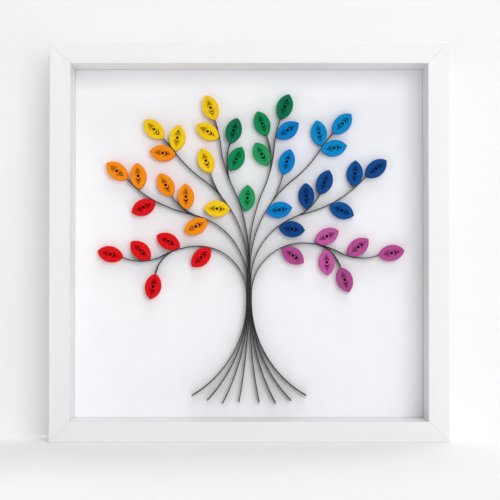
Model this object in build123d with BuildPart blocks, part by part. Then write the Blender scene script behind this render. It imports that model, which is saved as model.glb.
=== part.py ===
"""Quilled paper tree in a deep box frame.

Eight strips of paper stand on edge on a white card. Each strip is a root, a length of the trunk and a
bough in one, with a shoot glued to its side. Coiled paper leaves in seven colours are glued to the boughs
and shoots by a tip or a flank. The card and a back board lie in the rebate of a mitred frame, held by flat
points, and the frame has a toothed hanger on the back of its top rail.

The frame stands on its bottom rail and faces -Y. The origin is at the middle of its base. Sizes are in
millimetres and turns in degrees.
"""

from build123d import *
import os
from math import asin, atan2, cos, radians, sin

# Tree, measured on the card
crown_radius = 100
card_margin = 12
root_rise = 66
root_margin = 9

# Paper strips, which stand on edge
strip_thick = 0.4
strip_depth = 5
glue_line = 0.05

# Coiled leaf: its outline, and the gaps between its inner turns
leaf_length = 17
leaf_width = 10.5
leaf_depth = 5
flank_steps = 6
eye_radius = 0.8
eye_sides = 6
turn_gap = 0.5
turn_bow = 0.45

# Frame rails
rail_face = 13
frame_depth = 36
rebate_width = 5
rebate_depth = 10
edge_round = 0.6
mitre_gap = 0.05

# Card and back board in the rebate
card_thick = 1
board_thick = 3
panel_clear = 0.5

# Flat points that hold the board
point_width = 6
point_length = 12
point_tip = 2.5
point_bite = 4
point_thick = 0.4
point_clear = 0.05
point_spread_share = 0.55

# Toothed hanger and its nails
hanger_length = 44
hanger_height = 7
hanger_thick = 0.8
hanger_lift = 1.4
hanger_foot = 8
hanger_bend = 2
tooth_count = 9
tooth_depth = 1.8
nail_radius = 0.6
nail_head_radius = 1.5
nail_head_thick = 0.5
nail_bite = 7
nail_clear = 0.03

# Sides of a bough on which a shoot or a leaf is glued, and the run that carries a leaf
OUTER = 1
END = 0
INNER = -1
BOUGH = 0
SHOOT = 1

# Hand of each half of the tree: a turn to the left is positive
hands = {"left": 1, "right": -1}

# Height above the waist at which a strip leaves the trunk, outermost strip first, as a share of crown_radius
leave_shares = (0.04, 0.12, 0.20, 0.28)

# Root of each strip, outermost first: its radius as a share of root_rise, and its turn
root_arc_shares = ((1.06, 60), (1.39, 44), (2.12, 28), (5.15, 11))

# Bough of each strip: arcs that run on from each other.
# Each has a radius as a share of crown_radius, and a turn outward.
bough_arc_shares = {
    "left_1": ((0.31, 98), (0.58, 20), (0.28, -52)),
    "left_2": ((0.44, 78), (0.90, -22), (0.50, -16)),
    "left_3": ((0.72, 54), (0.80, -18), (0.60, 10)),
    "left_4": ((1.04, 26), (0.76, -20), (0.70, 14)),
    "right_1": ((0.33, 94), (0.54, 24), (0.30, -48)),
    "right_2": ((0.45, 76), (0.80, -26), (0.60, -10)),
    "right_3": ((0.74, 52), (0.70, -20), (0.66, 12)),
    "right_4": ((1.08, 24), (0.80, -20), (0.64, 16)),
}

# Shoot of each bough: its place as a share of the bough, its side,
# its radius as a share of crown_radius, and its turn
shoot_shares = {
    "left_1": (0.66, OUTER, 0.20, 54),
    "left_2": (0.53, INNER, 0.33, 35),
    "left_3": (0.48, INNER, 0.56, 18),
    "left_4": (0.55, INNER, 0.40, 36),
    "right_1": (0.60, OUTER, 0.22, 56),
    "right_2": (0.52, INNER, 0.30, 38),
    "right_3": (0.44, INNER, 0.60, 18),
    "right_4": (0.62, INNER, 0.42, 32),
}
shoot_splay = 5

# Leaves of each strip: the run that carries it, its place as a share of that run,
# its side and its lean from the run
leaf_shares = {
    "left_1": (
        (BOUGH, 1, END, 10), (BOUGH, 0.42, OUTER, 58), (BOUGH, 0.64, INNER, 46),
        (BOUGH, 0.84, INNER, 52), (SHOOT, 1, END, 0),
    ),
    "left_2": (
        (BOUGH, 1, END, 12), (BOUGH, 0.48, OUTER, 48), (BOUGH, 0.80, OUTER, 54),
        (SHOOT, 1, END, -6), (SHOOT, 0.48, INNER, 50), (BOUGH, 0.94, INNER, 42),
    ),
    "left_3": (
        (BOUGH, 1, END, 0), (BOUGH, 0.41, OUTER, 52), (BOUGH, 0.90, OUTER, 46),
        (SHOOT, 1, END, 4), (BOUGH, 0.92, INNER, 46),
    ),
    "left_4": (
        (BOUGH, 1, END, 0), (BOUGH, 0.90, OUTER, 46), (SHOOT, 1, END, 0),
        (SHOOT, 0.52, INNER, 27), (BOUGH, 0.385, INNER, 22),
    ),
    "right_1": (
        (BOUGH, 1, END, 10), (BOUGH, 0.38, OUTER, 58), (BOUGH, 0.62, INNER, 38),
        (BOUGH, 0.82, INNER, 52), (SHOOT, 1, END, 0), (SHOOT, 0.42, OUTER, 46),
    ),
    "right_2": (
        (BOUGH, 1, END, 12), (BOUGH, 0.42, OUTER, 40), (BOUGH, 0.74, OUTER, 52),
        (SHOOT, 1, END, -6), (SHOOT, 0.48, INNER, 50), (BOUGH, 0.94, INNER, 42),
    ),
    "right_3": (
        (BOUGH, 1, END, 0), (BOUGH, 0.39, OUTER, 49), (BOUGH, 0.90, OUTER, 46),
        (SHOOT, 1, END, 4), (BOUGH, 0.92, INNER, 46),
    ),
    "right_4": (
        (BOUGH, 1, END, 0), (BOUGH, 0.90, OUTER, 46), (SHOOT, 1, END, 0), (SHOOT, 0.42, INNER, 27),
    ),
}

# Gaps between a leaf's inner turns: a share of leaf_length out from the eye,
# and a share of leaf_width up and down
turn_gap_shares = ((0.08, 0.13), (0.145, 0.10))

# Colours of the leaves of each strip, in the order of leaf_shares:
# a rainbow from low on the left over the top to low on the right
leaf_colours = {
    "left_1": ("red", "red", "red", "red", "red"),
    "left_2": ("orange", "orange", "red", "orange", "orange", "orange"),
    "left_3": ("yellow", "yellow", "orange", "yellow", "yellow"),
    "left_4": ("yellow", "yellow", "green", "green", "green"),
    "right_1": ("violet", "violet", "violet", "violet", "violet", "violet"),
    "right_2": ("dark_blue", "dark_blue", "dark_blue", "dark_blue", "dark_blue", "dark_blue"),
    "right_3": ("light_blue", "light_blue", "light_blue", "light_blue", "light_blue"),
    "right_4": ("green", "light_blue", "green", "green"),
}

# Rails, by the turn that takes the bottom rail to their place
rail_turns = {"rail_bottom": 0, "rail_right": 90, "rail_top": 180, "rail_left": 270}

# Sizes that follow from the ones above
opening_side = 2 * (crown_radius + card_margin)
frame_side = opening_side + 2 * rail_face
panel_side = opening_side + 2 * (rebate_width - panel_clear)
hanger_out = hanger_lift + hanger_thick
front_y = -(frame_depth + hanger_out) / 2
back_y = front_y + frame_depth
card_y = back_y - rebate_depth
board_y = card_y + card_thick
board_back_y = board_y + board_thick
waist_z = rail_face + root_margin + root_rise
strip_pitch = strip_thick + glue_line
flank_radius = (leaf_length**2 + leaf_width**2) / (4 * leaf_width)
flank_angle = asin(leaf_length / 2 / flank_radius)
hanger_z = frame_side - (rail_face - rebate_width) / 2
nail_x = (hanger_length - hanger_foot) / 2

os.makedirs("parts", exist_ok=True)


def facing(y):
    """Upright sketch plane at a depth, seen from the front: X to the right and Z up."""
    return Plane.XZ.offset(-y)


def turned(y, turn):
    """Upright sketch plane at a depth, centred on the frame and turned as seen from the front."""
    side_way = (cos(radians(turn)), 0, sin(radians(turn)))
    return Plane(origin=(0, y, frame_side / 2), x_dir=side_way, z_dir=(0, -1, 0))


def heading_vector(angle):
    """Unit vector at an angle in radians on the card."""
    return Vector(cos(angle), sin(angle))


def draw_arcs(start, heading, arcs, hand):
    """Draw tangent arcs one after another, from a radius and a turn each, and return them."""
    drawn = []
    for radius, turn in arcs:
        drawn.append(JernArc(start, heading, radius, hand * turn))
        start = drawn[-1] @ 1
        heading = drawn[-1] % 1
    return drawn


def along(arcs, share):
    """Point and heading at a share of the joined length of a run of arcs."""
    way = share * sum(arc.length for arc in arcs)
    for arc in arcs[:-1]:
        if way <= arc.length:
            return arc @ (way / arc.length), arc % (way / arc.length)
        way -= arc.length
    last_share = way / arcs[-1].length
    return arcs[-1] @ last_share, arcs[-1] % last_share


def flank_points():
    """Outline of a leaf: two equal arcs that meet at the tips, taken at even steps."""
    steps = [flank_angle * (2 * step / flank_steps - 1) for step in range(flank_steps)]
    middle = flank_radius - leaf_width / 2
    upper = [(flank_radius * sin(angle), flank_radius * cos(angle) - middle) for angle in steps]
    return upper + [(-x, -y) for x, y in upper]


def outline_reach(angle):
    """Point of a leaf's outline that lies furthest towards an angle from its long axis."""
    way = heading_vector(angle)
    if abs(sin(angle)) < cos(flank_angle):
        return Vector(leaf_length / 2 if way.X > 0 else -leaf_length / 2, 0)
    middle = flank_radius - leaf_width / 2
    return way * flank_radius - Vector(0, middle if way.Y > 0 else -middle)


def leaf_place(point, heading, side, lean, hand):
    """Centre and long axis of a leaf that touches a strip at a point, on a side or at its end."""
    run_angle = atan2(heading.Y, heading.X)
    if side == END:
        away_angle = run_angle
        axis = run_angle + hand * radians(lean)
        contact = point
    else:
        away_angle = run_angle + hand * side * radians(90)
        axis = run_angle + hand * side * radians(lean)
        contact = point + heading_vector(away_angle) * strip_thick / 2
    touching = outline_reach(away_angle + radians(180) - axis)
    turned_x = touching.X * cos(axis) - touching.Y * sin(axis)
    turned_y = touching.X * sin(axis) + touching.Y * cos(axis)
    centre = contact + heading_vector(away_angle) * glue_line - Vector(turned_x, turned_y)
    return centre, axis


# Strips of the tree
leaf_places = []
for name, arc_shares in bough_arc_shares.items():
    half, number = name.split("_")
    rank = int(number) - 1
    hand = hands[half]
    strip_x = -hand * (len(leave_shares) - rank - 0.5) * strip_pitch
    waist = (strip_x, waist_z)
    leave = (strip_x, waist_z + leave_shares[rank] * crown_radius)
    root_arcs = [(root_arc_shares[rank][0] * root_rise, root_arc_shares[rank][1])]
    bough_arcs = [(share * crown_radius, turn) for share, turn in arc_shares]
    shoot_share, shoot_side, shoot_radius_share, shoot_turn = shoot_shares[name]
    with BuildPart() as bough:
        with BuildSketch(facing(card_y)):
            with BuildLine():
                draw_arcs(waist, (0, -1), root_arcs, -hand)
                Line(waist, leave)
                bough_run = draw_arcs(leave, (0, 1), bough_arcs, hand)
            trace(line_width=strip_thick)
            with BuildLine():
                shoot_start, shoot_heading = along(bough_run, shoot_share)
                shoot_hand = hand * shoot_side
                shoot_heading = shoot_heading.rotate(Axis.Z, shoot_hand * shoot_splay)
                shoot_arcs = [(shoot_radius_share * crown_radius, shoot_turn)]
                shoot_run = draw_arcs(shoot_start, shoot_heading, shoot_arcs, shoot_hand)
            trace(line_width=strip_thick)
        extrude(amount=strip_depth)
    bough.part.label = f"bough_{name}"
    export_step(bough.part, f"parts/bough_{name}.step")
    for (run, share, side, lean), colour in zip(leaf_shares[name], leaf_colours[name]):
        point, heading = along((bough_run, shoot_run)[run], share)
        leaf_places.append((colour, *leaf_place(point, heading, side, lean, hand)))

# Leaves, numbered within their colour
leaf_counts = {}
for colour, centre, axis in leaf_places:
    leaf_counts[colour] = leaf_counts.get(colour, 0) + 1
    name = f"leaf_{colour}_{leaf_counts[colour]}"
    long_way = (cos(axis), 0, sin(axis))
    leaf_plane = Plane(origin=(centre.X, card_y, centre.Y), x_dir=long_way, z_dir=(0, -1, 0))
    with BuildPart() as leaf:
        with BuildSketch(leaf_plane):
            with BuildLine():
                Polyline(*flank_points(), close=True)
            make_face()
            RegularPolygon(eye_radius, eye_sides, mode=Mode.SUBTRACT)
            for way in (1, -1):
                for start_share, height_share in turn_gap_shares:
                    start = start_share * leaf_length
                    half_height = height_share * leaf_width
                    with BuildLine():
                        Polyline(
                            (way * (start - turn_bow), -half_height),
                            (way * (start + turn_gap), -half_height / 2),
                            (way * (start + turn_gap), half_height / 2),
                            (way * (start - turn_bow), half_height),
                            (way * start, 0),
                            close=True,
                        )
                    make_face(mode=Mode.SUBTRACT)
        extrude(amount=leaf_depth)
    leaf.part.label = name
    export_step(leaf.part, f"parts/{name}.step")

# Rails, mitred at their ends, with a rebate for the card and board and slots for the points
outer = frame_side / 2
inner = opening_side / 2
point_x = point_spread_share * inner
for name, turn in rail_turns.items():
    back_plane = turned(back_y, turn)
    with BuildPart() as rail:
        with BuildSketch(back_plane):
            with BuildLine():
                Polyline(
                    (mitre_gap - outer, -outer),
                    (outer - mitre_gap, -outer),
                    (inner - mitre_gap, -inner),
                    (mitre_gap - inner, -inner),
                    close=True,
                )
            make_face()
        extrude(amount=frame_depth)
        front_edges = rail.faces().sort_by(Axis.Y)[0].edges()
        fillet(front_edges.filter_by(Axis(back_plane.origin, back_plane.x_dir)), edge_round)
        with BuildSketch(back_plane):
            with Locations((0, -inner)):
                Rectangle(frame_side, rebate_width, align=(Align.CENTER, Align.MAX))
        extrude(amount=rebate_depth, mode=Mode.SUBTRACT)
        with BuildSketch(turned(board_back_y + point_thick + point_clear, turn)):
            with Locations((-point_x, -inner - rebate_width), (point_x, -inner - rebate_width)):
                Rectangle(
                    point_width + 2 * point_clear, point_bite + point_clear, align=(Align.CENTER, Align.MAX)
                )
        extrude(amount=point_thick + 2 * point_clear, mode=Mode.SUBTRACT)
        if name == "rail_top":
            with BuildSketch(facing(back_y)):
                with Locations((-nail_x, hanger_z), (nail_x, hanger_z)):
                    Circle(nail_radius + nail_clear)
            extrude(amount=nail_bite + nail_clear, mode=Mode.SUBTRACT)
    rail.part.label = name
    export_step(rail.part, f"parts/{name}.step")

# Picture card, which carries the tree
with BuildPart() as card:
    with BuildSketch(turned(board_y, 0)):
        Rectangle(panel_side, panel_side)
    extrude(amount=card_thick)
card.part.label = "card"
export_step(card.part, "parts/card.step")

# Back board behind the card
with BuildPart() as back_board:
    with BuildSketch(turned(board_back_y, 0)):
        Rectangle(panel_side, panel_side)
    extrude(amount=board_thick)
back_board.part.label = "back_board"
export_step(back_board.part, "parts/back_board.step")

# Flat points, two in each rail, with their sharp ends in the slots
point_root_y = -inner - rebate_width - point_bite
with BuildPart() as framers_points:
    for turn in rail_turns.values():
        with BuildSketch(turned(board_back_y + point_thick, turn)):
            with Locations((-point_x, point_root_y), (point_x, point_root_y)):
                Polygon(
                    (0, 0),
                    (point_width / 2, point_tip),
                    (point_width / 2, point_length),
                    (-point_width / 2, point_length),
                    (-point_width / 2, point_tip),
                    align=None,
                )
        extrude(amount=point_thick)
framers_points.part.label = "framers_points"
export_step(framers_points.part, "parts/framers_points.step")

# Toothed hanger: two flat feet, and a raised middle with teeth along its lower edge
bridge_x = hanger_length / 2 - hanger_foot - hanger_bend
hanger_line = (
    (-hanger_length / 2, 0),
    (hanger_foot - hanger_length / 2, 0),
    (-bridge_x, hanger_lift),
    (bridge_x, hanger_lift),
    (hanger_length / 2 - hanger_foot, 0),
    (hanger_length / 2, 0),
)
tooth_pitch = 2 * bridge_x / tooth_count
hanger_base = hanger_z - hanger_height / 2
with BuildPart() as hanger:
    with BuildSketch(Plane(origin=(0, back_y, hanger_base), z_dir=(0, 0, 1))):
        with BuildLine():
            Polyline(*hanger_line, *[(x, y + hanger_thick) for x, y in reversed(hanger_line)], close=True)
        make_face()
    extrude(amount=hanger_height)
    with BuildSketch(facing(back_y + hanger_out)):
        with Locations((0, hanger_base)):
            with GridLocations(tooth_pitch, 0, tooth_count, 1):
                Polygon((-tooth_pitch / 2, 0), (tooth_pitch / 2, 0), (0, tooth_depth), align=None)
    extrude(amount=hanger_thick, mode=Mode.SUBTRACT)
    with BuildSketch(facing(back_y + hanger_thick)):
        with Locations((-nail_x, hanger_z), (nail_x, hanger_z)):
            Circle(nail_radius + nail_clear)
    extrude(amount=hanger_thick, mode=Mode.SUBTRACT)
hanger.part.label = "hanger"
export_step(hanger.part, "parts/hanger.step")

# Nails through the feet of the hanger
with BuildPart() as hanger_nails:
    with BuildSketch(facing(back_y + hanger_thick)):
        with Locations((-nail_x, hanger_z), (nail_x, hanger_z)):
            Circle(nail_radius)
    extrude(amount=hanger_thick + nail_bite)
    with BuildSketch(facing(back_y + hanger_thick + nail_head_thick)):
        with Locations((-nail_x, hanger_z), (nail_x, hanger_z)):
            Circle(nail_head_radius)
    extrude(amount=nail_head_thick)
hanger_nails.part.label = "hanger_nails"
export_step(hanger_nails.part, "parts/hanger_nails.step")
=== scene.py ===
"""Looks of a quilled paper tree in a box frame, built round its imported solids.

The coiled leaves and the paper strips are surfaces worked out with numpy, each in the place of the solid
that it stands for. The frame, the card and the fittings at the back keep their solids and get a finish.
Lengths are in metres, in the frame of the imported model: X to the right, Y to the back and Z up.
"""

from __future__ import annotations

import logging
from dataclasses import dataclass, field
from enum import Enum
from math import atan2, cos, pi, radians, sin, sqrt

import bpy
import numpy as np
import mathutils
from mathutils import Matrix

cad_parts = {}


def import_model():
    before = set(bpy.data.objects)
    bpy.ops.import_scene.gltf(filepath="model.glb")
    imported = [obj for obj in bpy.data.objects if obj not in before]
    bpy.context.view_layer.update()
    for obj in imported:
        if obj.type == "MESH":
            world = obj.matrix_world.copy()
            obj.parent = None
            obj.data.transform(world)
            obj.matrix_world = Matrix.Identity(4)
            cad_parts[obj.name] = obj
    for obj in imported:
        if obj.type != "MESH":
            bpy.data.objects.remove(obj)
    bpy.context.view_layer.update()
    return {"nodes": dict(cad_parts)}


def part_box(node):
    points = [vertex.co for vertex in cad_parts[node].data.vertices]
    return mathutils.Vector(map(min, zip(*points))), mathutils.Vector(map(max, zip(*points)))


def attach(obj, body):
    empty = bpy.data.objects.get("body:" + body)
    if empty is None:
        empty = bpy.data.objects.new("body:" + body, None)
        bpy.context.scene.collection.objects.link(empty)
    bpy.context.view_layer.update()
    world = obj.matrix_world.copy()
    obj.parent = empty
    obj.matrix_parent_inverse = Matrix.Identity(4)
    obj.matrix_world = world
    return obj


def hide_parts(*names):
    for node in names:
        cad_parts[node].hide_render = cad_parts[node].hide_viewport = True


LOG = logging.getLogger("quilled_tree")
BODY = "root"

Colour = tuple[float, float, float, float]
Vector = tuple[float, float, float]
Pair = tuple[float, float]
Socket = bpy.types.NodeSocket
Sockets = dict[str | int, object]

WHITE: Colour = (1.0, 1.0, 1.0, 1.0)

# Points in each ring of a ribbon of paper
RING = 4


class LeafColour(Enum):
    """Colours of the leaves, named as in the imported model."""

    RED = "red"
    ORANGE = "orange"
    YELLOW = "yellow"
    GREEN = "green"
    LIGHT_BLUE = "light_blue"
    DARK_BLUE = "dark_blue"
    VIOLET = "violet"


class Half(Enum):
    """Halves of the tree, by the sign of a turn towards their own side."""

    LEFT = 1
    RIGHT = -1


class GrainAxis(Enum):
    """Way that the brushed grain of a rail runs, as a stretch of the pattern along X, Y and Z."""

    ACROSS = (0.06, 1.0, 1.0)
    UPRIGHT = (1.0, 1.0, 0.06)


def grey(level: float) -> Colour:
    """Grey of a level from 0 to 1, with a full alpha."""
    return (level, level, level, 1.0)


@dataclass(frozen=True)
class Tone:
    """A colour as it shows on a screen, from 0 to 255."""

    red: float
    green: float
    blue: float

    def linear(self, lift: float = 1.0) -> Colour:
        """Turn the colour into light by the usual curve of screens.

        A share c up to 0.04045 gives c / 12.92, and a larger one gives ((c + 0.055) / 1.055)^2.4.

        Args:
            lift: factor on the light.

        Returns:
            Red, green, blue and a full alpha.
        """
        shares = np.array([self.red, self.green, self.blue]) / 255
        light = np.where(shares <= 0.04045, shares / 12.92, ((shares + 0.055) / 1.055) ** 2.4)
        return (*np.clip(light * lift, 0, 1).tolist(), 1.0)

    def pure(self, level: float) -> Colour:
        """Deep hue of the colour: each part is level (c / m)^2, where m is the strongest part c.

        Args:
            level: light of the strongest of red, green and blue.

        Returns:
            Red, green, blue and a full alpha.
        """
        *light, alpha = self.linear()
        return (*(level * (part / max(light)) ** 2 for part in light), alpha)

    def painted_turn_shade(self, share: float = 0.94, power: float = 0.6) -> Tone:
        """Painted shade: the tone of the same paper where light has gone to and fro between its turns.

        Each part c becomes share c (c / m)^power, where m is the strongest part.

        Args:
            share: factor on the strongest part.
            power: how much the weaker parts fall.

        Returns:
            A tone of a purer hue.
        """
        parts = (self.red, self.green, self.blue)
        return Tone(*(share * part * (part / max(parts)) ** power for part in parts))


class NodeSheet:
    """Node tree of one material, with short calls that add nodes and join them."""

    def __init__(self, name: str) -> None:
        """Start a material that has only its principled shader.

        Args:
            name: name of the material.
        """
        self.material = bpy.data.materials.new(name)
        self.material.use_nodes = True
        self.tree = self.material.node_tree
        self.shader = self.tree.nodes["Principled BSDF"]
        self.place = self.add("ShaderNodeTexCoord").outputs["Object"]

    def add(self, kind: str, sockets: Sockets | None = None, **settings: object) -> bpy.types.Node:
        """Add a node.

        Args:
            kind: Blender's name for the node.
            sockets: values or outputs for its inputs, by name or number.
            settings: properties of the node itself.

        Returns:
            The new node.
        """
        node = self.tree.nodes.new(kind)
        for key, value in settings.items():
            setattr(node, key, value)
        for key, value in (sockets or {}).items():
            self.put(node.inputs[key], value)
        return node

    def put(self, socket: Socket, value: object) -> None:
        """Set an input to a value, or join an output to it.

        Args:
            socket: the input.
            value: a plain value or an output.
        """
        if isinstance(value, Socket):
            self.tree.links.new(value, socket)
        else:
            socket.default_value = value

    def surface(self, **values: object) -> None:
        """Set inputs of the principled shader, with _ for a space in their names."""
        for key, value in values.items():
            self.put(self.shader.inputs[key.replace("_", " ")], value)

    def noise(
        self, scale: float, detail: float = 3.0, stretch: Vector = (1.0, 1.0, 1.0), slant: float = 0.0
    ) -> Socket:
        """Add a noise pattern on the object's own coordinates.

        Args:
            scale: cells per metre.
            detail: octaves of finer noise.
            stretch: factor on the scale along X, Y and Z.
            slant: turn of the pattern about Y, in radians, before it is stretched.

        Returns:
            Output that runs from 0 to 1.
        """
        turned = self.add(
            "ShaderNodeVectorRotate", {"Vector": self.place, "Angle": slant}, rotation_type="Y_AXIS"
        )
        mapping = self.add("ShaderNodeMapping", {"Vector": turned.outputs["Vector"], "Scale": stretch})
        spot = mapping.outputs["Vector"]
        pattern = self.add("ShaderNodeTexNoise", {"Vector": spot, "Scale": scale, "Detail": detail})
        return pattern.outputs["Fac"]

    def ramp(self, factor: Socket, low: Colour, high: Colour, ends: Pair = (0.3, 0.7)) -> Socket:
        """Run from one colour to another with a factor.

        Args:
            factor: output that drives the run.
            low: colour at the first end.
            high: colour at the second end.
            ends: factors at which the run starts and stops.

        Returns:
            Colour output.
        """
        node = self.add("ShaderNodeValToRGB", {"Fac": factor})
        for element, place, colour in zip(node.color_ramp.elements, ends, (low, high)):
            element.position = place
            element.color = colour
        return node.outputs["Color"]

    def mix(self, factor: object, first: Socket, second: Socket, way: str = "MIX") -> Socket:
        """Mix two colours.

        Args:
            factor: share of the second one.
            first: first colour.
            second: second colour.
            way: Blender's name for the way of mixing.

        Returns:
            Colour output.
        """
        # Inputs 6 and 7 and output 2 of the node are the ones for colours
        sockets = {0: factor, 6: first, 7: second}
        return self.add("ShaderNodeMix", sockets, data_type="RGBA", blend_type=way).outputs[2]

    def times(self, first: Socket, second: Socket) -> Socket:
        """Multiply two colours."""
        return self.mix(1.0, first, second, "MULTIPLY")

    def rescale(self, value: Socket, span: Pair, ends: Pair, way: str = "LINEAR") -> Socket:
        """Carry a value from one range to another, and hold it past the ends.

        Args:
            value: output to carry over.
            span: its range.
            ends: results at the two ends of that range.
            way: Blender's name for the run between them.

        Returns:
            Number output.
        """
        names = ("From Min", "From Max", "To Min", "To Max")
        sockets = {"Value": value, **dict(zip(names, (*span, *ends)))}
        return self.add("ShaderNodeMapRange", sockets, interpolation_type=way).outputs["Result"]

    def attribute(self, name: str) -> Socket:
        """Read a number that the mesh carries."""
        return self.add("ShaderNodeAttribute", attribute_name=name).outputs["Fac"]

    def bump(self, height: Socket, depth: float, show: float) -> None:
        """Raise the surface by a pattern.

        Args:
            height: pattern from 0 to 1.
            depth: height of the relief in metres.
            show: share of it that shows.
        """
        node = self.add("ShaderNodeBump", {"Height": height, "Distance": depth, "Strength": show})
        self.surface(Normal=node.outputs["Normal"])


def seen_rays(tree: bpy.types.NodeTree) -> Socket:
    """Tell the rays that show a surface from those that only light others.

    Args:
        tree: node tree of a stage material or of the world.

    Returns:
        Output that is 1 for camera, glossy and transmission rays, and 0 for the rest.
    """
    path = tree.nodes.new("ShaderNodeLightPath")
    seen = path.outputs["Is Camera Ray"]
    for ray in ("Is Glossy Ray", "Is Transmission Ray"):
        either = tree.nodes.new("ShaderNodeMath")
        either.operation = "MAXIMUM"
        tree.links.new(seen, either.inputs[0])
        tree.links.new(path.outputs[ray], either.inputs[1])
        seen = either.outputs[0]
    return seen


@dataclass(frozen=True)
class PaperFinish:
    """Dyed strip paper: fibres, a tone that the mesh carries, and cut edges paler than the flat sides.

    The tone carries painted shade on the leaves: in the gaps between their turns, at their core and on the
    sheet at their back.
    """

    name: str
    edge: Tone
    side: Tone
    deep_light: float = 0.8
    deep_ends: Pair = (0.0, 1.0)
    edge_spread: Pair = (0.94, 1.07)
    side_spread: Pair = (0.88, 1.04)
    fibre_scale: float = 2400.0
    fibre_depth: float = 0.00004
    fibre_show: float = 0.5
    cloud_scale: float = 200.0
    cloud_shade: float = 0.98
    roughness: float = 0.82
    specular: float = 0.12

    def material(self) -> bpy.types.Material:
        """Make the material.

        Returns:
            A matte paper.
        """
        sheet = NodeSheet(self.name)
        fibre = sheet.noise(self.fibre_scale, detail=4.0)
        cloud = sheet.noise(self.cloud_scale, detail=2.0)
        edge = sheet.ramp(fibre, *map(self.edge.linear, self.edge_spread))
        side = sheet.ramp(fibre, *map(self.side.linear, self.side_spread))
        colour = sheet.mix(sheet.attribute("cut_edge"), side, edge)
        # The tone runs down to a deeper hue: painted shade and a little random tone on the leaves, random
        # tone on the strips
        deep = self.edge.pure(self.deep_light)
        colour = sheet.times(colour, sheet.ramp(sheet.attribute("tone_and_painted_shade"), deep, WHITE, self.deep_ends))
        colour = sheet.times(colour, sheet.ramp(cloud, grey(self.cloud_shade), WHITE))
        sheet.surface(Base_Color=colour, Roughness=self.roughness, Specular_IOR_Level=self.specular)
        sheet.bump(fibre, self.fibre_depth, self.fibre_show)
        return sheet.material


@dataclass(frozen=True)
class PaintFinish:
    """Satin paint on a planed rail, with the grain of the wood faint under it."""

    name: str
    tone: Tone
    grain: GrainAxis
    grain_scale: float = 900.0
    grain_shade: float = 0.985
    peel_scale: float = 1500.0
    peel_share: float = 0.4
    relief_depth: float = 0.00005
    relief_show: float = 0.2
    roughness: Pair = (0.30, 0.42)
    specular: float = 0.12

    def material(self) -> bpy.types.Material:
        """Make the material.

        Returns:
            A satin paint whose grain runs along the rail.
        """
        sheet = NodeSheet(self.name)
        grain = sheet.noise(self.grain_scale, detail=4.0, stretch=self.grain.value)
        peel = sheet.noise(self.peel_scale, detail=2.0)
        colour = sheet.ramp(grain, self.tone.linear(self.grain_shade), self.tone.linear())
        gloss = sheet.ramp(peel, *map(grey, self.roughness))
        sheet.surface(Base_Color=colour, Roughness=gloss, Specular_IOR_Level=self.specular)
        sheet.bump(sheet.mix(self.peel_share, grain, peel), self.relief_depth, self.relief_show)
        return sheet.material


@dataclass(frozen=True)
class CardFinish:
    """Smooth picture card with a fine tooth, and a painted shadow line where it goes in behind the rails."""

    name: str
    tone: Tone
    centre: Vector = (0.0, 0.0, 0.125)
    half_side: float = 0.112
    line_width: float = 0.0006
    line_shade: float = 0.62
    tooth_scale: float = 1800.0
    tooth_shade: float = 0.985
    tooth_depth: float = 0.00003
    tooth_show: float = 0.4
    cloud_scale: float = 60.0
    cloud_shade: float = 0.98
    roughness: float = 0.88
    specular: float = 0.2

    def line(self, sheet: NodeSheet) -> Socket:
        """Paint a shadow line along the border of the card, by the larger of |x| and |z| from its middle.

        Args:
            sheet: node tree of the card.

        Returns:
            Colour output that is white inside the line.
        """
        away = sheet.add("ShaderNodeVectorMath", {0: sheet.place, 1: self.centre}, operation="SUBTRACT")
        out = sheet.add("ShaderNodeVectorMath", {0: away.outputs["Vector"]}, operation="ABSOLUTE")
        sides = sheet.add("ShaderNodeSeparateXYZ", {0: out.outputs["Vector"]}).outputs
        reach = sheet.add("ShaderNodeMath", {0: sides["X"], 1: sides["Z"]}, operation="MAXIMUM").outputs[0]
        near = sheet.rescale(reach, (self.half_side - self.line_width, self.half_side), (0.0, 1.0))
        return sheet.ramp(near, WHITE, grey(self.line_shade), (0.0, 1.0))

    def material(self) -> bpy.types.Material:
        """Make the material.

        Returns:
            A matte white card.
        """
        sheet = NodeSheet(self.name)
        tooth = sheet.noise(self.tooth_scale, detail=4.0)
        cloud = sheet.noise(self.cloud_scale, detail=2.0)
        colour = sheet.ramp(cloud, self.tone.linear(self.cloud_shade), self.tone.linear())
        colour = sheet.times(colour, sheet.ramp(tooth, grey(self.tooth_shade), WHITE))
        # Painted shadow line along the border of the card
        colour = sheet.times(colour, self.line(sheet))
        sheet.surface(Base_Color=colour, Roughness=self.roughness, Specular_IOR_Level=self.specular)
        sheet.bump(tooth, self.tooth_depth, self.tooth_show)
        return sheet.material


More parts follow.
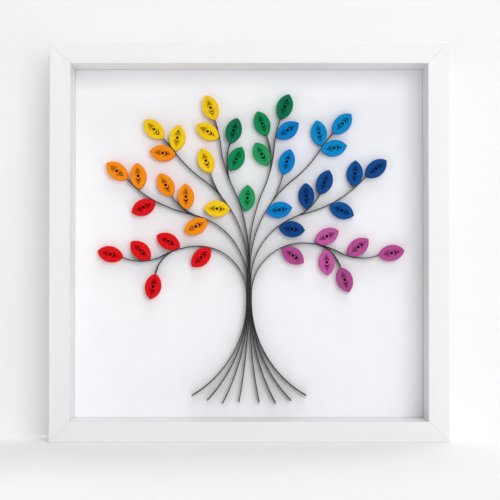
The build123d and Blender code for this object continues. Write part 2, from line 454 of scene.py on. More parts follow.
@dataclass(frozen=True)
class BoardFinish:
    """Hardboard: pressed wood fibre, finely mottled, with short dark slivers in it."""

    name: str
    pale: Tone
    dark: Tone
    fibre_scale: float = 620.0
    fibre_depth: float = 0.00012
    fibre_show: float = 0.6
    cloud_scale: float = 40.0
    cloud_shade: Colour = (0.90, 0.90, 0.89, 1.0)
    sliver_slants: Vector = (14.0, 74.0, 128.0)
    sliver_scale: float = 820.0
    sliver_stretch: Vector = (0.24, 1.0, 1.0)
    sliver_shade: Colour = (0.74, 0.70, 0.66, 1.0)
    sliver_ends: Pair = (0.60, 0.70)
    roughness: float = 0.78
    specular: float = 0.3

    def material(self) -> bpy.types.Material:
        """Make the material.

        Returns:
            A brown fibre board.
        """
        sheet = NodeSheet(self.name)
        cloud = sheet.noise(self.cloud_scale, detail=2.0)
        fibre = sheet.noise(self.fibre_scale, detail=5.0)
        colour = sheet.ramp(fibre, self.dark.linear(), self.pale.linear())
        colour = sheet.times(colour, sheet.ramp(cloud, self.cloud_shade, WHITE))
        for slant in self.sliver_slants:
            streak = sheet.noise(self.sliver_scale, 2.0, self.sliver_stretch, slant=radians(slant))
            colour = sheet.times(colour, sheet.ramp(streak, WHITE, self.sliver_shade, self.sliver_ends))
        sheet.surface(Base_Color=colour, Roughness=self.roughness, Specular_IOR_Level=self.specular)
        sheet.bump(fibre, self.fibre_depth, self.fibre_show)
        return sheet.material


@dataclass(frozen=True)
class SteelFinish:
    """Rolled sheet steel, brushed along X, with fine wear in its gloss."""

    name: str
    tone: Tone
    brush_scale: float = 2600.0
    brush_stretch: Vector = (0.05, 1.0, 1.0)
    brush_depth: float = 0.00002
    brush_show: float = 0.3
    stain_scale: float = 260.0
    stain_shade: float = 0.80
    roughness: Pair = (0.28, 0.46)

    def material(self) -> bpy.types.Material:
        """Make the material.

        Returns:
            A satin metal.
        """
        sheet = NodeSheet(self.name)
        brush = sheet.noise(self.brush_scale, stretch=self.brush_stretch)
        stain = sheet.noise(self.stain_scale)
        colour = sheet.ramp(stain, self.tone.linear(self.stain_shade), self.tone.linear())
        gloss = sheet.ramp(brush, *map(grey, self.roughness))
        sheet.surface(Base_Color=colour, Metallic=1.0, Roughness=gloss)
        sheet.bump(brush, self.brush_depth, self.brush_show)
        return sheet.material


@dataclass(frozen=True)
class BackdropFinish:
    """Plain pale paint for the floor and the wall. It keeps shadows near the object and is even far off."""

    name: str
    tone: Tone
    own_light: float
    one_sided: bool = False
    near: float = 0.35
    far: float = 1.1
    far_light: float = 0.95
    cloud_scale: float = 6.0
    cloud_shade: float = 0.99
    roughness: float = 0.9

    def material(self) -> bpy.types.Material:
        """Make the material.

        Returns:
            A matte paint that gives some light of its own, more of it far from the origin, and that can be
            looked through from behind.
        """
        sheet = NodeSheet(self.name)
        cloud = sheet.noise(self.cloud_scale, detail=2.0)
        colour = sheet.ramp(cloud, self.tone.linear(self.cloud_shade), self.tone.linear())
        sheet.surface(Base_Color=colour, Roughness=self.roughness, Specular_IOR_Level=0.0)
        glow = sheet.add("ShaderNodeEmission", {"Color": colour, "Strength": 1.0}).outputs["Emission"]
        distance = sheet.add("ShaderNodeVectorMath", {0: sheet.place}, operation="LENGTH").outputs["Value"]
        lights = (self.own_light, self.far_light)
        share = sheet.rescale(distance, (self.near, self.far), lights, "SMOOTHSTEP")
        shown = sheet.add("ShaderNodeMath", {0: share, 1: seen_rays(sheet.tree)}, operation="MULTIPLY")
        sockets = {0: shown.outputs[0], 1: sheet.shader.outputs["BSDF"], 2: glow}
        paint = sheet.add("ShaderNodeMixShader", sockets).outputs["Shader"]
        if self.one_sided:
            behind = sheet.add("ShaderNodeNewGeometry").outputs["Backfacing"]
            clear = sheet.add("ShaderNodeBsdfTransparent").outputs["BSDF"]
            paint = sheet.add("ShaderNodeMixShader", {0: behind, 1: paint, 2: clear}).outputs["Shader"]
        sheet.put(sheet.tree.nodes["Material Output"].inputs["Surface"], paint)
        return sheet.material


LEAF_TONES: dict[LeafColour, tuple[Tone, ...]] = {
    LeafColour.RED: (Tone(228, 17, 25),),
    LeafColour.ORANGE: (Tone(255, 146, 18),),
    LeafColour.YELLOW: (Tone(255, 208, 22),),
    LeafColour.GREEN: (Tone(12, 117, 81), Tone(16, 140, 86), Tone(38, 154, 93)),
    LeafColour.LIGHT_BLUE: (Tone(6, 142, 206), Tone(4, 129, 200)),
    LeafColour.DARK_BLUE: (Tone(17, 75, 144), Tone(17, 70, 136), Tone(15, 83, 154)),
    LeafColour.VIOLET: (Tone(187, 81, 149), Tone(177, 77, 144), Tone(198, 91, 162)),
}

# Light that is left deep in the gaps between the turns, in the strongest part of each colour
GAP_LIGHTS: dict[LeafColour, float] = {
    LeafColour.RED: 0.24,
    LeafColour.ORANGE: 0.32,
    LeafColour.YELLOW: 0.34,
    LeafColour.GREEN: 0.12,
    LeafColour.LIGHT_BLUE: 0.14,
    LeafColour.DARK_BLUE: 0.10,
    LeafColour.VIOLET: 0.14,
}


def ribbon_faces(rings: int, first: int = 0) -> np.ndarray:
    """Faces of a ribbon whose rings have four points each.

    Ring i holds its right front, left front, left back and right back point, as seen along the ribbon. A
    face joins points k and k + 1 of ring i to those of ring i + 1, and one more face closes each end.

    Args:
        rings: number of rings.
        first: number of the ribbon's first point in the mesh.

    Returns:
        Point numbers, four to a face: all side faces in four columns, then the two ends.
    """
    ring = np.arange(rings - 1)[:, None] * RING
    side = np.arange(RING)[None, :]
    ahead = (side + 1) % RING
    quads = [ring + side, ring + RING + side, ring + RING + ahead, ring + ahead]
    sides = np.stack(quads, axis=-1).reshape(-1, RING)
    start = np.arange(RING)
    ends = np.stack([start, (rings - 1) * RING + start[::-1]])
    return np.concatenate([sides, ends]) + first


def ribbon_points(right: np.ndarray, left: np.ndarray, front: np.ndarray, back: float) -> np.ndarray:
    """Points of a ribbon that stands on edge.

    Args:
        right: places of its right side on the card, as rows of X and Z.
        left: places of its left side, in the same rows.
        front: Y of its front edge in each row.
        back: Y of its back edge.

    Returns:
        Rows of X, Y and Z, four to a ring.
    """
    rear = np.full_like(front, back)
    lines = [(right, front), (left, front), (left, rear), (right, rear)]
    rings = [np.stack([place[:, 0], depth, place[:, 1]], axis=-1) for place, depth in lines]
    return np.stack(rings, axis=1).reshape(-1, 3)


def make_ribbon_piece(
    name: str, points: np.ndarray, faces: np.ndarray, tones: np.ndarray, creases: np.ndarray
) -> bpy.types.Object:
    """Put ribbons into a mesh and an object at the origin.

    Args:
        name: name of the object and its mesh.
        points: rows of X, Y and Z, four to a ring.
        faces: rows of four point numbers.
        tones: tone of the paper at each point, from 0 to 1; on the leaves it also carries painted shade.
        creases: for each point, whether its ring is a sharp fold.

    Returns:
        The object, linked to the scene.
    """
    mesh = bpy.data.meshes.new(name)
    mesh.from_pydata(points, (), faces)
    mesh.update(calc_edges=True)
    mesh.polygons.foreach_set("use_smooth", np.ones(len(faces), bool))
    ends = np.empty(len(mesh.edges) * 2, np.int32)
    mesh.edges.foreach_get("vertices", ends)
    ends = ends.reshape(-1, 2)
    same_ring = ends[:, 0] // RING == ends[:, 1] // RING
    sharp = ~same_ring | creases[ends[:, 0]]
    mesh.attributes.new("sharp_edge", "BOOLEAN", "EDGE").data.foreach_set("value", sharp)
    is_front = (faces % RING <= 1).all(axis=1).astype(np.float32)
    mesh.attributes.new("cut_edge", "FLOAT", "FACE").data.foreach_set("value", is_front)
    mesh.attributes.new("tone_and_painted_shade", "FLOAT", "POINT").data.foreach_set("value", tones.astype(np.float32))
    piece = bpy.data.objects.new(name, mesh)
    bpy.context.scene.collection.objects.link(piece)
    return piece


def smooth_run(places: np.ndarray, knots: int, source: np.random.Generator) -> np.ndarray:
    """Random values from 0 to 1, drawn at even knots and run smoothly between them.

    Args:
        places: where the values are wanted, from 0 to 1.
        knots: number of values drawn.
        source: seeded source of the values.

    Returns:
        A value for each place: a half cosine carries it from one knot to the next.
    """
    drawn = source.random(knots)
    spot = np.clip(places, 0, 1) * (knots - 1)
    low = np.minimum(spot.astype(int), knots - 2)
    share = (1 - np.cos(pi * (spot - low))) / 2
    return drawn[low] * (1 - share) + drawn[low + 1] * share


@dataclass
class CoilLeaf:
    """A strip of paper coiled into an eye and pinched at two ends, standing on edge on the card.

    Its outer turns lie flank to flank in the outline of the leaf. Its inner turns come together at the
    flanks and stand apart along the leaf, down to a round eye, and the first turns of the coil lie deep in
    the eye. A thin sheet closes the gaps at the back. The sheet, the backs of the inner turns and the core
    turns carry painted shade.

    The closest spacing and the widest cut of the paper are factors on its thickness. A sink is how far a
    front edge stands back, of which the outermost turn has a share, and the core falls to its own within a
    share of a turn.
    """

    name: str
    centre: Pair
    axis: float
    half_length: float
    half_width: float
    front: float
    back: float
    seed: int
    paper: float = 0.000180
    pitch: float = 0.000195
    packed_turns: int = 14
    open_turns: int = 8
    core_turns: int = 4
    steps: int = 48
    eye_radius: float = 0.00095
    open_gaps: tuple[float, ...] = (0.45, 0.03, 0.03, 0.80, 0.03, 0.03, 0.03, 0.03)
    gap_spread: Pair = (0.55, 1.45)
    closest: float = 1.12
    widest: float = 1.6
    sink: float = 0.00009
    sink_knots: int = 40
    outer_sink: float = 0.35
    core_sink: float = 0.0036
    core_fall: float = 0.5
    front_tones: Pair = (0.97, 1.0)
    tone_knots: int = 30
    # Share of the tone that painted shade takes off the core turns
    core_painted_shade: float = 0.85
    # Thickness, reach and rings of the thin sheet of painted shade at the back
    film: float = 0.0003
    shade_sheet_reach: float = 0.99
    shade_sheet_rings: int = 25

    @classmethod
    def in_place_of(cls, node: bpy.types.Object, seed: int, digits: int = 7) -> CoilLeaf:
        """Take a leaf's place and size from its solid.

        The tips are the two points of the solid that lie furthest apart as seen from the front.

        Args:
            node: the leaf's solid.
            seed: seed for the leaf's own turns.
            digits: decimals in which two points that are one agree.

        Returns:
            A leaf in the solid's place.
        """
        points = np.empty(len(node.data.vertices) * 3)
        node.data.vertices.foreach_get("co", points)
        points = points.reshape(-1, 3)
        flat = np.unique(points[:, [0, 2]].round(digits), axis=0)
        apart = np.linalg.norm(flat[:, None] - flat[None, :], axis=-1)
        one, other = np.unravel_index(apart.argmax(), apart.shape)
        middle = (flat[one] + flat[other]) / 2
        along = (flat[other] - flat[one]) / apart.max()
        across = (flat - middle) @ np.array([-along[1], along[0]])
        return cls(
            name=node.name.replace("leaf_", "coil_"),
            centre=tuple(middle),
            axis=atan2(along[1], along[0]),
            half_length=apart.max() / 2,
            half_width=np.abs(across).max(),
            front=points[:, 1].min(),
            back=points[:, 1].max(),
            seed=seed,
        )

    @property
    def flank(self) -> float:
        """Radius F of the outline's arcs: (l^2 + w^2) / 2 w, from half the length l and half the width w."""
        return (self.half_length**2 + self.half_width**2) / (2 * self.half_width)

    @property
    def middle(self) -> float:
        """Distance M of the arcs' centres from the long axis."""
        return self.flank - self.half_width

    def open_shares(self, source: np.random.Generator, room: float) -> np.ndarray:
        """Places of the inner turns along one end of the leaf.

        Args:
            source: seeded source that varies the gaps.
            room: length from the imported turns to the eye.

        Returns:
            Share of the way to the eye at the end of each inner turn, from 0 to 1.
        """
        gaps = np.array(self.open_gaps) * source.uniform(*self.gap_spread, self.open_turns)
        least = self.paper * self.closest
        spare = room - self.open_turns * least
        widths = least + spare * gaps / gaps.sum()
        return np.concatenate([[0.0], np.cumsum(widths) / room])

    def line(self, source: np.random.Generator) -> tuple[np.ndarray, np.ndarray, np.ndarray]:
        """Work out the strip's line as a spiral about the leaf's middle.

        The outline is two equal arcs of radius F whose centres lie M to either side of the long axis. At
        angle a and depth d in from the outline, the radius is sqrt((F - d)^2 - (M cos a)^2) - M |sin a|, and
        d grows by one pitch a turn. The inner turns run from that radius to the eye's, in even steps across
        the leaf and in uneven ones along it, mixed by |cos a|. In the eye the radius falls by one pitch a
        turn.

        Args:
            source: seeded source that varies the inner turns.

        Returns:
            Turns from the outer end, angle and radius at each step.
        """
        total = self.packed_turns + self.open_turns + self.core_turns
        turns = np.linspace(0, total, total * self.steps + 1)
        angle = 2 * pi * turns
        depth = self.paper / 2 + self.pitch * np.minimum(turns, self.packed_turns)
        flank = self.flank - depth
        sideways = self.middle * np.cos(angle)
        outline = np.sqrt(flank**2 - sideways**2) - self.middle * np.abs(np.sin(angle))
        eye_line = self.eye_radius + self.paper / 2
        room = sqrt(flank[-1] ** 2 - self.middle**2) - eye_line
        opened = np.clip(turns - self.packed_turns, 0, self.open_turns)
        knots = np.arange(self.open_turns + 1)
        right = np.interp(opened, knots, self.open_shares(source, room))
        left = np.interp(opened, knots, self.open_shares(source, room))
        even = opened / self.open_turns
        along = np.abs(np.cos(angle))
        share = even + along * (np.where(np.cos(angle) > 0, right, left) - even)
        cored = np.clip(turns - self.packed_turns - self.open_turns, 0, self.core_turns)
        return turns, angle, outline + (eye_line - outline) * share - self.pitch * cored

    def build(self) -> bpy.types.Object:
        """Carry the strip's section along its line.

        The two sides lie half a paper's thickness to either side of the line, measured along the radius and
        so lengthened by sqrt(1 + (r'/r)^2). The front edge sinks a little from turn to turn, and far in the
        eye.

        Returns:
            The leaf's object.
        """
        source = np.random.default_rng(self.seed)
        turns, angle, radius = self.line(source)
        slope = np.gradient(radius, angle)
        half = self.paper / 2 * np.minimum(np.sqrt(1 + (slope / radius) ** 2), self.widest)
        turned = np.stack([np.cos(angle + self.axis), np.sin(angle + self.axis)], axis=-1)
        right = np.array(self.centre) + turned * (radius + half)[:, None]
        left = np.array(self.centre) + turned * (radius - half)[:, None]
        way = turns / turns[-1]
        cored = np.clip((turns - self.packed_turns - self.open_turns) / self.core_fall, 0, 1)
        uneven = smooth_run(way, self.sink_knots, source) * (self.outer_sink + (1 - self.outer_sink) * way)
        front = self.front + self.sink * uneven + self.core_sink * cored
        coil = ribbon_points(right, left, front, self.back)
        film = self.shade_sheet_points()
        low, high = self.front_tones
        tint = low + (high - low) * smooth_run(way, self.tone_knots, source)
        # Painted shade darkens the core turns deep in the eye
        tint_and_core_shade = tint * (1 - self.core_painted_shade * cored)
        # Painted shade: the backs of the inner turns take the darkest tone, the outermost turn keeps its own
        shaded_back = np.where(turns < 1, tint_and_core_shade, 0.0)
        coil_tones = np.stack([tint_and_core_shade, tint_and_core_shade, shaded_back, shaded_back], axis=1).reshape(-1)
        # The sheet at the back takes the darkest tone, all of it painted shade
        tones = np.concatenate([coil_tones, np.zeros(len(film))])
        faces = np.concatenate([ribbon_faces(len(turns)), ribbon_faces(self.shade_sheet_rings, len(coil))])
        tips = np.arange(len(turns)) % (self.steps // 2) == 0
        folds = np.repeat(tips & (turns < self.packed_turns), RING)
        creases = np.concatenate([folds, np.zeros(len(film), bool)])
        return make_ribbon_piece(self.name, np.concatenate([coil, film]), faces, tones, creases)

    def shade_sheet_points(self) -> np.ndarray:
        """Points of the thin sheet at the back of the leaf, which carries painted shade.

        At x along the leaf its half height is sqrt((F - d)^2 - x^2) - M, the outline at the depth of the
        inmost packed turn.

        Returns:
            Rows of X, Y and Z, four to a ring.
        """
        inner = self.flank - self.pitch * self.packed_turns
        reach = np.linspace(-self.shade_sheet_reach, self.shade_sheet_reach, self.shade_sheet_rings)
        along = reach * sqrt(inner**2 - self.middle**2)
        height = np.sqrt(inner**2 - along**2) - self.middle
        way = np.array([cos(self.axis), sin(self.axis)])
        square = np.array([-sin(self.axis), cos(self.axis)])
        line = np.array(self.centre) + along[:, None] * way
        rise = height[:, None] * square
        front = np.full(len(along), self.back - self.film)
        return ribbon_points(line - rise, line + rise, front, self.back)


@dataclass
class Foliage:
    """The coiled leaves, each in the place of a solid."""

    nodes: dict[str, bpy.types.Object]
    first_seed: int = 410
    # Tones at which the painted shade in the leaves' gaps starts and stops
    gap_shade_ends: Pair = (0.4, 1.0)
    finishes: dict[tuple[LeafColour, int], bpy.types.Material] = field(default_factory=dict)

    def finish(self, colour: LeafColour, number: int) -> bpy.types.Material:
        """Paper of a leaf.

        Args:
            colour: colour of the leaf.
            number: number of the leaf within its colour.

        Returns:
            Its material, made once for each tone.
        """
        tones = LEAF_TONES[colour]
        rank = (number - 1) % len(tones)
        if (colour, rank) not in self.finishes:
            tone = tones[rank]
            # The flat sides get a deeper tone: painted shade of the light lost between the turns
            paper = PaperFinish(
                f"{colour.value}_paper_{rank + 1}",
                edge=tone,
                side=tone.painted_turn_shade(),
                deep_light=GAP_LIGHTS[colour],
                deep_ends=self.gap_shade_ends,
            )
            self.finishes[colour, rank] = paper.material()
        return self.finishes[colour, rank]

    def build(self) -> None:
        """Build and dress every leaf."""
        names = sorted(name for name in self.nodes if name.startswith("leaf_"))
        for rank, name in enumerate(names):
            piece = CoilLeaf.in_place_of(self.nodes[name], self.first_seed + rank).build()
            self.dress(piece, name)

    def dress(self, piece: bpy.types.Object, node: str) -> None:
        """Give a leaf its paper and set it in the frame.

        Args:
            piece: the leaf's object.
            node: name of the solid that it stands for.
        """
        colour_name, number = node.removeprefix("leaf_").rsplit("_", 1)
        colour = LeafColour(colour_name)
        piece.data.materials.append(self.finish(colour, int(number)))
        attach(piece, BODY)
        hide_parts(node)
        LOG.info("%s: %d faces", piece.name, len(piece.data.polygons))


@dataclass(frozen=True)
class StripPlan:
    """Run of one strip: arcs as a radius and a turn in degrees, and where its shoot leaves it."""

    half: Half
    rank: int
    leave: float
    root: Pair
    bough: tuple[Pair, ...]
    shoot_share: float
    shoot: Pair
    shoot_outward: bool = False

    @property
    def name(self) -> str:
        """Name of the strip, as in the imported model."""
        return f"{self.half.name.lower()}_{self.rank}"


STRIP_PLANS: tuple[StripPlan, ...] = (
    StripPlan(
        Half.LEFT, 1, leave=0.004, root=(0.06996, 60), bough=((0.031, 98), (0.058, 20), (0.028, -52)),
        shoot_share=0.66, shoot=(0.020, 54), shoot_outward=True,
    ),
    StripPlan(
        Half.LEFT, 2, leave=0.012, root=(0.09174, 44), bough=((0.044, 78), (0.090, -22), (0.050, -16)),
        shoot_share=0.53, shoot=(0.033, 35),
    ),
    StripPlan(
        Half.LEFT, 3, leave=0.020, root=(0.13992, 28), bough=((0.072, 54), (0.080, -18), (0.060, 10)),
        shoot_share=0.48, shoot=(0.056, 18),
    ),
    StripPlan(
        Half.LEFT, 4, leave=0.028, root=(0.33990, 11), bough=((0.104, 26), (0.076, -20), (0.070, 14)),
        shoot_share=0.55, shoot=(0.040, 36),
    ),
    StripPlan(
        Half.RIGHT, 1, leave=0.004, root=(0.06996, 60), bough=((0.033, 94), (0.054, 24), (0.030, -48)),
        shoot_share=0.60, shoot=(0.022, 56), shoot_outward=True,
    ),
    StripPlan(
        Half.RIGHT, 2, leave=0.012, root=(0.09174, 44), bough=((0.045, 76), (0.080, -26), (0.060, -10)),
        shoot_share=0.52, shoot=(0.030, 38),
    ),
    StripPlan(
        Half.RIGHT, 3, leave=0.020, root=(0.13992, 28), bough=((0.074, 52), (0.070, -20), (0.066, 12)),
        shoot_share=0.44, shoot=(0.060, 18),
    ),
    StripPlan(
        Half.RIGHT, 4, leave=0.028, root=(0.33990, 11), bough=((0.108, 24), (0.080, -20), (0.064, 16)),
        shoot_share=0.62, shoot=(0.042, 32),
    ),
)


@dataclass
class Run:
    """A line on the card: rows of X and Z, the heading in each row, and the way gone."""

    places: np.ndarray
    headings: np.ndarray

    @property
    def ways(self) -> np.ndarray:
        """Length of the line up to each row."""
        steps = np.linalg.norm(np.diff(self.places, axis=0), axis=1)
        return np.concatenate([[0.0], np.cumsum(steps)])

    def at(self, share: float) -> tuple[np.ndarray, float]:
        """Find a place on the line.

        Args:
            share: share of the line's length.

        Returns:
            X and Z there, and the heading.
        """
        way = share * self.ways[-1]
        place = np.array([np.interp(way, self.ways, self.places[:, side]) for side in range(2)])
        return place, float(np.interp(way, self.ways, self.headings))

    def joined(self, other: Run) -> Run:
        """This line with another one that starts where it ends."""
        places = np.concatenate([self.places, other.places[1:]])
        return Run(places, np.concatenate([self.headings, other.headings[1:]]))

    def reversed(self) -> Run:
        """This line run the other way."""
        return Run(self.places[::-1], self.headings[::-1] + pi)


def arc_run(start: np.ndarray, heading: float, arcs: tuple[Pair, ...], hand: int, fewest: int = 6) -> Run:
    """Draw arcs that run on from each other.

    An arc of radius R that turns to side s starts at P with heading h. Its centre is P + s R n(h), and
    after a turn t the line is at that centre - s R n(h + s t), where n(h) is the direction square to h on
    the left.

    Args:
        start: X and Z of the first point.
        heading: first heading, in radians.
        arcs: radius and turn in degrees of each arc.
        hand: 1 to turn to the left, -1 to turn to the right.
        fewest: fewest rows of an arc.

    Returns:
        The line, in steps of a degree or so.
    """
    run = Run(np.array([start]), np.array([heading]))
    for radius, turn in arcs:
        swept = np.linspace(0, radians(turn) * hand, max(fewest, int(abs(turn)) + 1))
        side = np.sign(swept[-1])
        headings = run.headings[-1] + swept
        square = np.stack([-np.sin(headings), np.cos(headings)], axis=-1)
        centre = run.places[-1] + side * radius * square[0]
        run = run.joined(Run(centre - side * radius * square, headings))
    return run


@dataclass
class Boughs:
    """The strips of the tree. Each is a root, a length of the trunk and a bough in one, and has a shoot."""

    edge: Tone = Tone(54, 52, 51)
    side: Tone = Tone(26, 25, 25)
    tone_knots: int = 12
    strips_a_half: int = 4
    waist: float = 0.088
    thick: float = 0.00044
    loose: float = 0.00049
    trunk_half: float = 0.0018
    loosening: float = 0.006
    glue: float = 0.00001
    splay: float = 5.0
    shoot_sink: float = 0.00008
    seed: int = 77

    def runs(self, plan: StripPlan) -> tuple[Run, Run]:
        """Draw a strip and its shoot.

        Args:
            plan: radii, turns and places of the strip.

        Returns:
            Line of the strip from its root's end to its bough's end, and line of the shoot.
        """
        hand = plan.half.value
        from_middle = self.strips_a_half + 0.5 - plan.rank
        waist = np.array([-hand * from_middle * (self.thick + self.glue), self.waist])
        root = arc_run(waist, -pi / 2, (plan.root,), -hand)
        bough = arc_run(waist + np.array([0.0, plan.leave]), pi / 2, plan.bough, hand)
        trunk = Run(np.array([waist, bough.places[0]]), np.array([pi / 2, pi / 2]))
        place, heading = bough.at(plan.shoot_share)
        shoot_hand = hand if plan.shoot_outward else -hand
        shoot = arc_run(place, heading + shoot_hand * radians(self.splay), (plan.shoot,), shoot_hand)
        climb = root.reversed()
        climb.headings = climb.headings - climb.headings[-1] + pi / 2
        return climb.joined(trunk).joined(bough), shoot

    def ribbon(self, run: Run, front: float, back: float) -> np.ndarray:
        """Points of a strip that stands on edge along a line, with half its thickness to either side.

        The paper is pressed in the trunk and looser outside it. With s from 0 at the trunk's side to 1 where
        it is loose, the thickness has grown by the share s^2 (3 - 2 s).

        Args:
            run: line of the strip.
            front: Y of its front edge.
            back: Y of its back edge.

        Returns:
            Rows of X, Y and Z, four to a ring.
        """
        out = np.clip((np.abs(run.places[:, 0]) - self.trunk_half) / self.loosening, 0, 1)
        thick = self.thick + (self.loose - self.thick) * out**2 * (3 - 2 * out)
        square = np.stack([-np.sin(run.headings), np.cos(run.headings)], axis=-1) * thick[:, None] / 2
        depth = np.full(len(run.places), front)
        return ribbon_points(run.places - square, run.places + square, depth, back)

    def build(self) -> None:
        """Build and dress every strip."""
        paper = PaperFinish("strip_paper", self.edge, self.side).material()
        source = np.random.default_rng(self.seed)
        for plan in STRIP_PLANS:
            node = f"bough_{plan.name}"
            low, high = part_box(node)
            strip, shoot = self.runs(plan)
            parts = [self.ribbon(strip, low.y, high.y), self.ribbon(shoot, low.y + self.shoot_sink, high.y)]
            faces = [ribbon_faces(len(strip.places)), ribbon_faces(len(shoot.places), len(parts[0]))]
            shares = [line.ways / line.ways[-1] for line in (strip, shoot)]
            tones = [np.repeat(smooth_run(share, self.tone_knots, source), RING) for share in shares]
            points, quads, tints = (np.concatenate(arrays) for arrays in (parts, faces, tones))
            creases = np.zeros(len(points), bool)
            piece = make_ribbon_piece(f"strip_{plan.name}", points, quads, tints, creases)
            self.dress(piece, node, paper)

    def dress(self, piece: bpy.types.Object, node: str, paper: bpy.types.Material) -> None:
        """Give a strip its paper and set it in the frame.

        Args:
            piece: the strip's object.
            node: name of the solid that it stands for.
            paper: its material.
        """
        piece.data.materials.append(paper)
        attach(piece, BODY)
        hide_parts(node)
        LOG.info("%s: %d faces", piece.name, len(piece.data.polygons))


@dataclass
class BoxFrame:
    """The frame, the card, the back board and the fittings, which keep their solids."""

    nodes: dict[str, bpy.types.Object]
    paint: Tone = Tone(238, 238, 238)
    card: Tone = Tone(246, 247, 250)
    pale_fibre: Tone = Tone(176, 136, 96)
    dark_fibre: Tone = Tone(148, 108, 72)
    point_steel: Tone = Tone(178, 178, 176)
    hanger_steel: Tone = Tone(160, 157, 150)

    def dress(self) -> None:
        """Give each solid its finish."""
        across = PaintFinish("white_rail_across", self.paint, GrainAxis.ACROSS).material()
        upright = PaintFinish("white_rail_upright", self.paint, GrainAxis.UPRIGHT).material()
        zinc = SteelFinish("hanger_steel", self.hanger_steel).material()
        finishes = {
            "rail_top": across,
            "rail_bottom": across,
            "rail_left": upright,
            "rail_right": upright,
            "card": CardFinish("picture_card", self.card).material(),
            "back_board": BoardFinish("hardboard", self.pale_fibre, self.dark_fibre).material(),
            "framers_points": SteelFinish("point_steel", self.point_steel).material(),
            "hanger": zinc,
            "hanger_nails": zinc,
        }
        for name, material in finishes.items():
            mesh = self.nodes[name].data
            mesh.materials.clear()
            mesh.materials.append(material)
            LOG.info("%s: %s", name, material.name)


@dataclass(frozen=True)
class Lamp:
    """A square soft lamp: its name, its place, its side and its power in watts."""

    name: str
    place: Vector
    size: float
    power: float


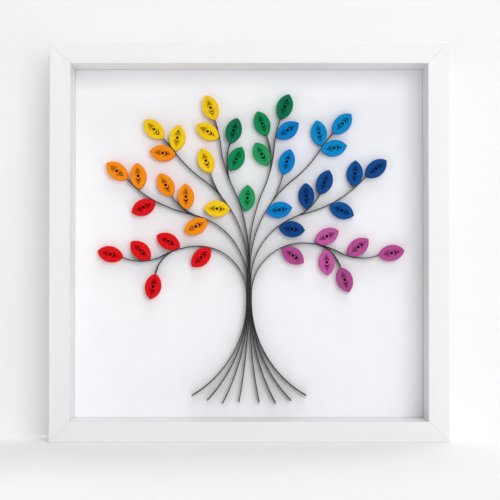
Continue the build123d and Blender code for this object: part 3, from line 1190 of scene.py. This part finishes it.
@dataclass
class Studio:
    """Floor, wall, lights and camera."""

    camera_place: Vector = (0.0006, -0.886, 0.104)
    camera_tilt: float = 1.06
    lens: float = 100.0
    sensor: float = 36.0
    reach: float = 3.0
    cells: int = 8
    wall_y: float = 0.0196
    floor: BackdropFinish = BackdropFinish("pale_floor", Tone(248, 248, 248), 0.15)
    wall: BackdropFinish = BackdropFinish("pale_wall", Tone(244, 244, 244), 0.12, one_sided=True)
    room_seen: float = 0.95
    room_light: float = 0.31
    target: Vector = (0.0, 0.0, 0.125)
    lamps: tuple[Lamp, ...] = (
        Lamp("key_lamp", (0.84, -2.83, 0.94), 1.7, 37.6),
        Lamp("side_lamp", (1.45, -0.24, 0.26), 0.4, 1.1),
        Lamp("high_lamp", (0.36, -0.86, 2.20), 1.0, 13.5),
        Lamp("top_lamp", (0.50, 0.90, 2.30), 1.3, 23.0),
        Lamp("back_lamp", (-0.90, 2.60, 0.90), 1.2, 14.0),
    )

    def sheet(self, name: str, corner: Vector, one: Vector, two: Vector) -> bpy.types.Object:
        """Build a flat stage sheet.

        A point of it is corner + u one + v two, with u and v from 0 to 1 on an even grid.

        Args:
            name: name of the object.
            corner: first corner.
            one: first side.
            two: second side.

        Returns:
            The sheet, which faces the way of one x two.
        """
        row = self.cells + 1
        share = np.linspace(0, 1, row)
        first, second = (grid.reshape(-1, 1) for grid in np.meshgrid(share, share))
        points = np.array(corner) + first * np.array(one) + second * np.array(two)
        cell = np.arange(self.cells)
        spot = (cell[:, None] * row + cell[None, :]).reshape(-1, 1)
        mesh = bpy.data.meshes.new(name)
        mesh.from_pydata(points, (), spot + np.array([0, 1, row + 1, row]))
        sheet = bpy.data.objects.new(name, mesh)
        bpy.context.scene.collection.objects.link(sheet)
        return sheet

    def build_backdrop(self) -> None:
        """Build the floor that the frame stands on, and the wall behind it, which only the camera sees."""
        reach, span = self.reach, 2 * self.reach
        floor = self.sheet("floor", (-reach, -reach, 0.0), (span, 0.0, 0.0), (0.0, span, 0.0))
        floor.data.materials.append(self.floor.material())
        wall = self.sheet("wall", (-reach, self.wall_y, 0.0), (span, 0.0, 0.0), (0.0, 0.0, reach))
        wall.data.materials.append(self.wall.material())
        wall.visible_diffuse = False
        wall.visible_glossy = False
        wall.visible_transmission = False
        wall.visible_shadow = False
        LOG.info("floor and wall")

    def add_lamp(self, lamp: Lamp) -> None:
        """Set up a lamp that points at the middle of the frame.

        Args:
            lamp: what the lamp is and where it stands.
        """
        light = bpy.data.lights.new(lamp.name, "AREA")
        light.size = lamp.size
        light.energy = lamp.power
        stand = bpy.data.objects.new(lamp.name, light)
        stand.location = lamp.place
        aim = np.array(self.target) - np.array(lamp.place)
        flat = sqrt(aim[0] ** 2 + aim[1] ** 2)
        stand.rotation_euler = (pi / 2 + atan2(aim[2], flat), 0.0, atan2(aim[1], aim[0]) - pi / 2)
        bpy.context.scene.collection.objects.link(stand)
        LOG.info("%s", lamp.name)

    def light(self) -> None:
        """Light the scene: a pale room all round, and soft lamps in front, overhead and behind."""
        world = bpy.data.worlds.new("pale_room")
        world.use_nodes = True
        bpy.context.scene.world = world
        tree = world.node_tree
        seen = tree.nodes.new("ShaderNodeBackground")
        seen.inputs["Color"].default_value = grey(self.room_seen)
        shine = tree.nodes["Background"]
        shine.inputs["Color"].default_value = WHITE
        shine.inputs["Strength"].default_value = self.room_light
        both = tree.nodes.new("ShaderNodeMixShader")
        tree.links.new(seen_rays(tree), both.inputs[0])
        tree.links.new(shine.outputs[0], both.inputs[1])
        tree.links.new(seen.outputs[0], both.inputs[2])
        tree.links.new(both.outputs[0], tree.nodes["World Output"].inputs["Surface"])
        for lamp in self.lamps:
            self.add_lamp(lamp)

    def film(self) -> None:
        """Set up the camera and the plain view."""
        camera = bpy.data.cameras.new("camera")
        camera.lens = self.lens
        camera.sensor_width = self.sensor
        stand = bpy.data.objects.new("camera", camera)
        stand.location = self.camera_place
        stand.rotation_euler = (radians(90 + self.camera_tilt), 0.0, 0.0)
        bpy.context.scene.collection.objects.link(stand)
        bpy.context.scene.camera = stand
        bpy.context.scene.view_settings.view_transform = "Standard"
        LOG.info("camera")


def main() -> None:
    """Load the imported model, build and dress each part of the object, and set up the studio."""
    logging.basicConfig(level=logging.INFO, format="%(message)s")
    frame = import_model()
    nodes = frame["nodes"]
    Foliage(nodes).build()
    Boughs().build()
    BoxFrame(nodes).dress()
    studio = Studio()
    studio.build_backdrop()
    studio.light()
    studio.film()


if __name__ == "__main__":
    main()
